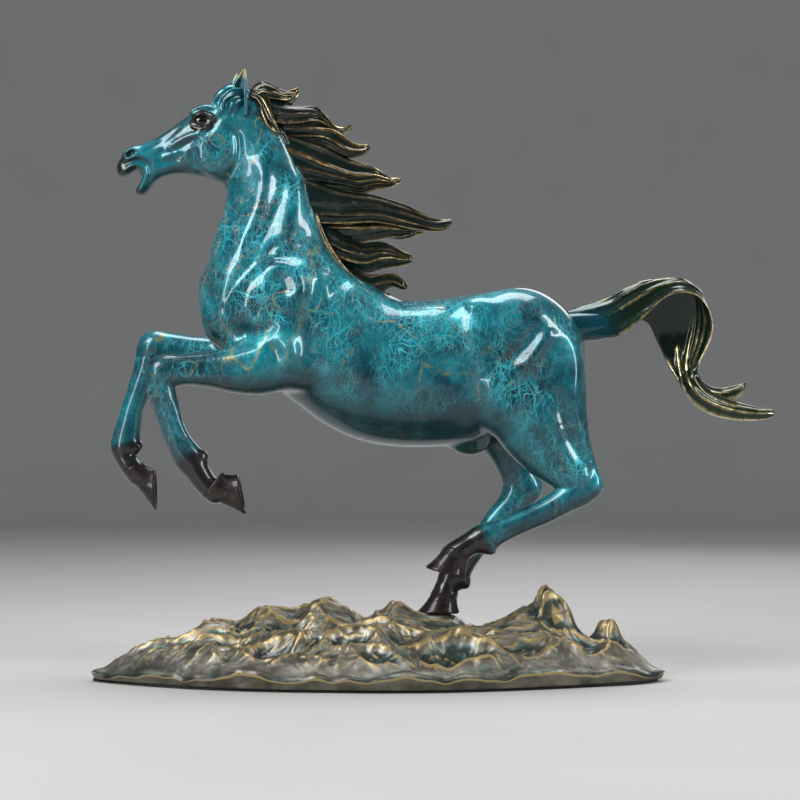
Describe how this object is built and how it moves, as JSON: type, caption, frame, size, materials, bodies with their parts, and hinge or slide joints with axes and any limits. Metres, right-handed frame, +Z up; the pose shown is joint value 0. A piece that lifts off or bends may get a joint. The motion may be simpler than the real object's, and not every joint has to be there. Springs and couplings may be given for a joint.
{
  "type": "horse statue",
  "caption": "Statue of a rearing horse in turquoise patinated bronze, mane and tail streaming back, standing on one hind hoof on a long rock base with a flat felt underside.",
  "frame": {"origin": "middle of the underside of the felt pad under the base", "axes": "+Z up, the horse faces -X, +Y is the horse's right side"},
  "size_m": [0.4805, 0.1497, 0.4275],
  "materials": {
    "turquoise_bronze": "turquoise chemical patina with fine pale veins under a gloss clear lacquer",
    "mane_bronze": "dark green-brown patina rubbed back to gold on the ridges and tips, gloss lacquer",
    "tail_bronze": "teal at the dock turning to dark green with gold ridges, gloss lacquer",
    "hoof_bronze": "dark red-brown mottled patina, satin lacquer",
    "rock_bronze": "pale silver-gold bronze with ochre ridges and turquoise in the hollows, satin",
    "eye_black": "black gloss lacquer",
    "felt": "dark felt",
    "zinc_steel": "zinc plated steel"
  },
  "bodies": {
    "root": {"body": "turquoise_bronze", "neck": "turquoise_bronze", "head": "turquoise_bronze", "lower_jaw": "turquoise_bronze", "left_ear": "turquoise_bronze", "right_ear": "turquoise_bronze", "left_foreleg": "turquoise_bronze", "right_foreleg": "turquoise_bronze", "left_hindleg": "turquoise_bronze", "right_hindleg": "turquoise_bronze", "mane_lock_1_poll": "mane_bronze", "mane_lock_2": "mane_bronze", "mane_lock_3": "mane_bronze", "mane_lock_4": "mane_bronze", "mane_lock_5": "mane_bronze", "mane_lock_6": "mane_bronze", "mane_lock_7_withers": "mane_bronze", "forelock": "mane_bronze", "tail": "tail_bronze", "tail_lower_lock": "tail_bronze", "tail_upper_lock": "tail_bronze", "left_front_hoof": "hoof_bronze", "right_front_hoof": "hoof_bronze", "left_hind_hoof": "hoof_bronze", "right_hind_hoof": "hoof_bronze", "base": "rock_bronze", "left_eye": "eye_black", "right_eye": "eye_black", "felt_pad": "felt", "mounting_stud": "zinc_steel", "stud_washer": "zinc_steel", "stud_nut": "zinc_steel"}
  },
  "joints": []
}
